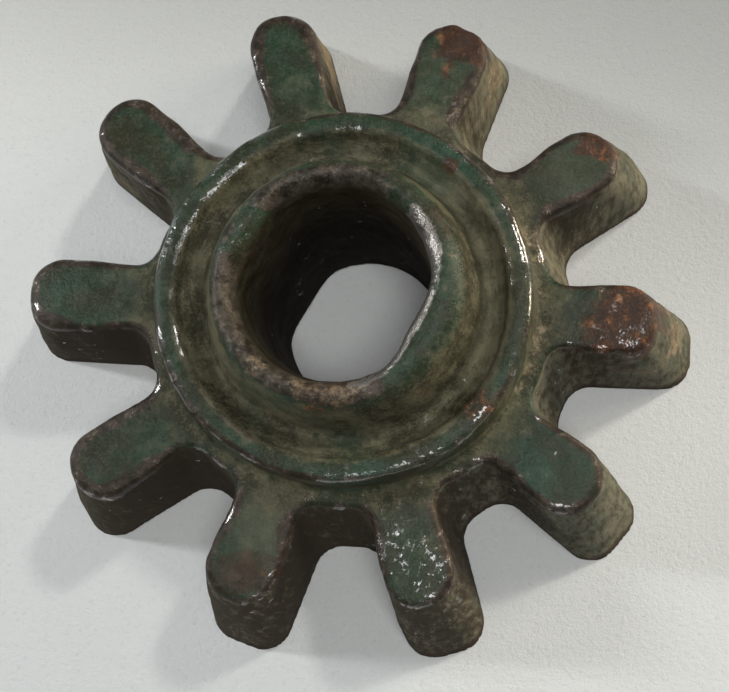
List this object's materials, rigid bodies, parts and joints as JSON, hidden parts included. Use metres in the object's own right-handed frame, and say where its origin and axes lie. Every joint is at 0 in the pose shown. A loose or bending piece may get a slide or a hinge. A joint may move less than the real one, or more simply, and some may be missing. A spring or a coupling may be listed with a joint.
{
  "type": "cog wheel",
  "caption": "Cast cog wheel with long drafted paddle teeth, a raised rim, an annular groove and a tall hub with a flat-sided bore.",
  "frame": {"origin": "on the bore's axis, at the flat underside", "axes": "+Z along the bore, from the flat underside towards the hub's lip; +X along one tooth"},
  "size_m": [0.1096, 0.1058, 0.033],
  "materials": {
    "painted_iron": "worn dark green paint over sand-cast iron, with brown bare edges and rust"
  },
  "bodies": {
    "root": {"cog_wheel": "painted_iron"}
  },
  "joints": []
}
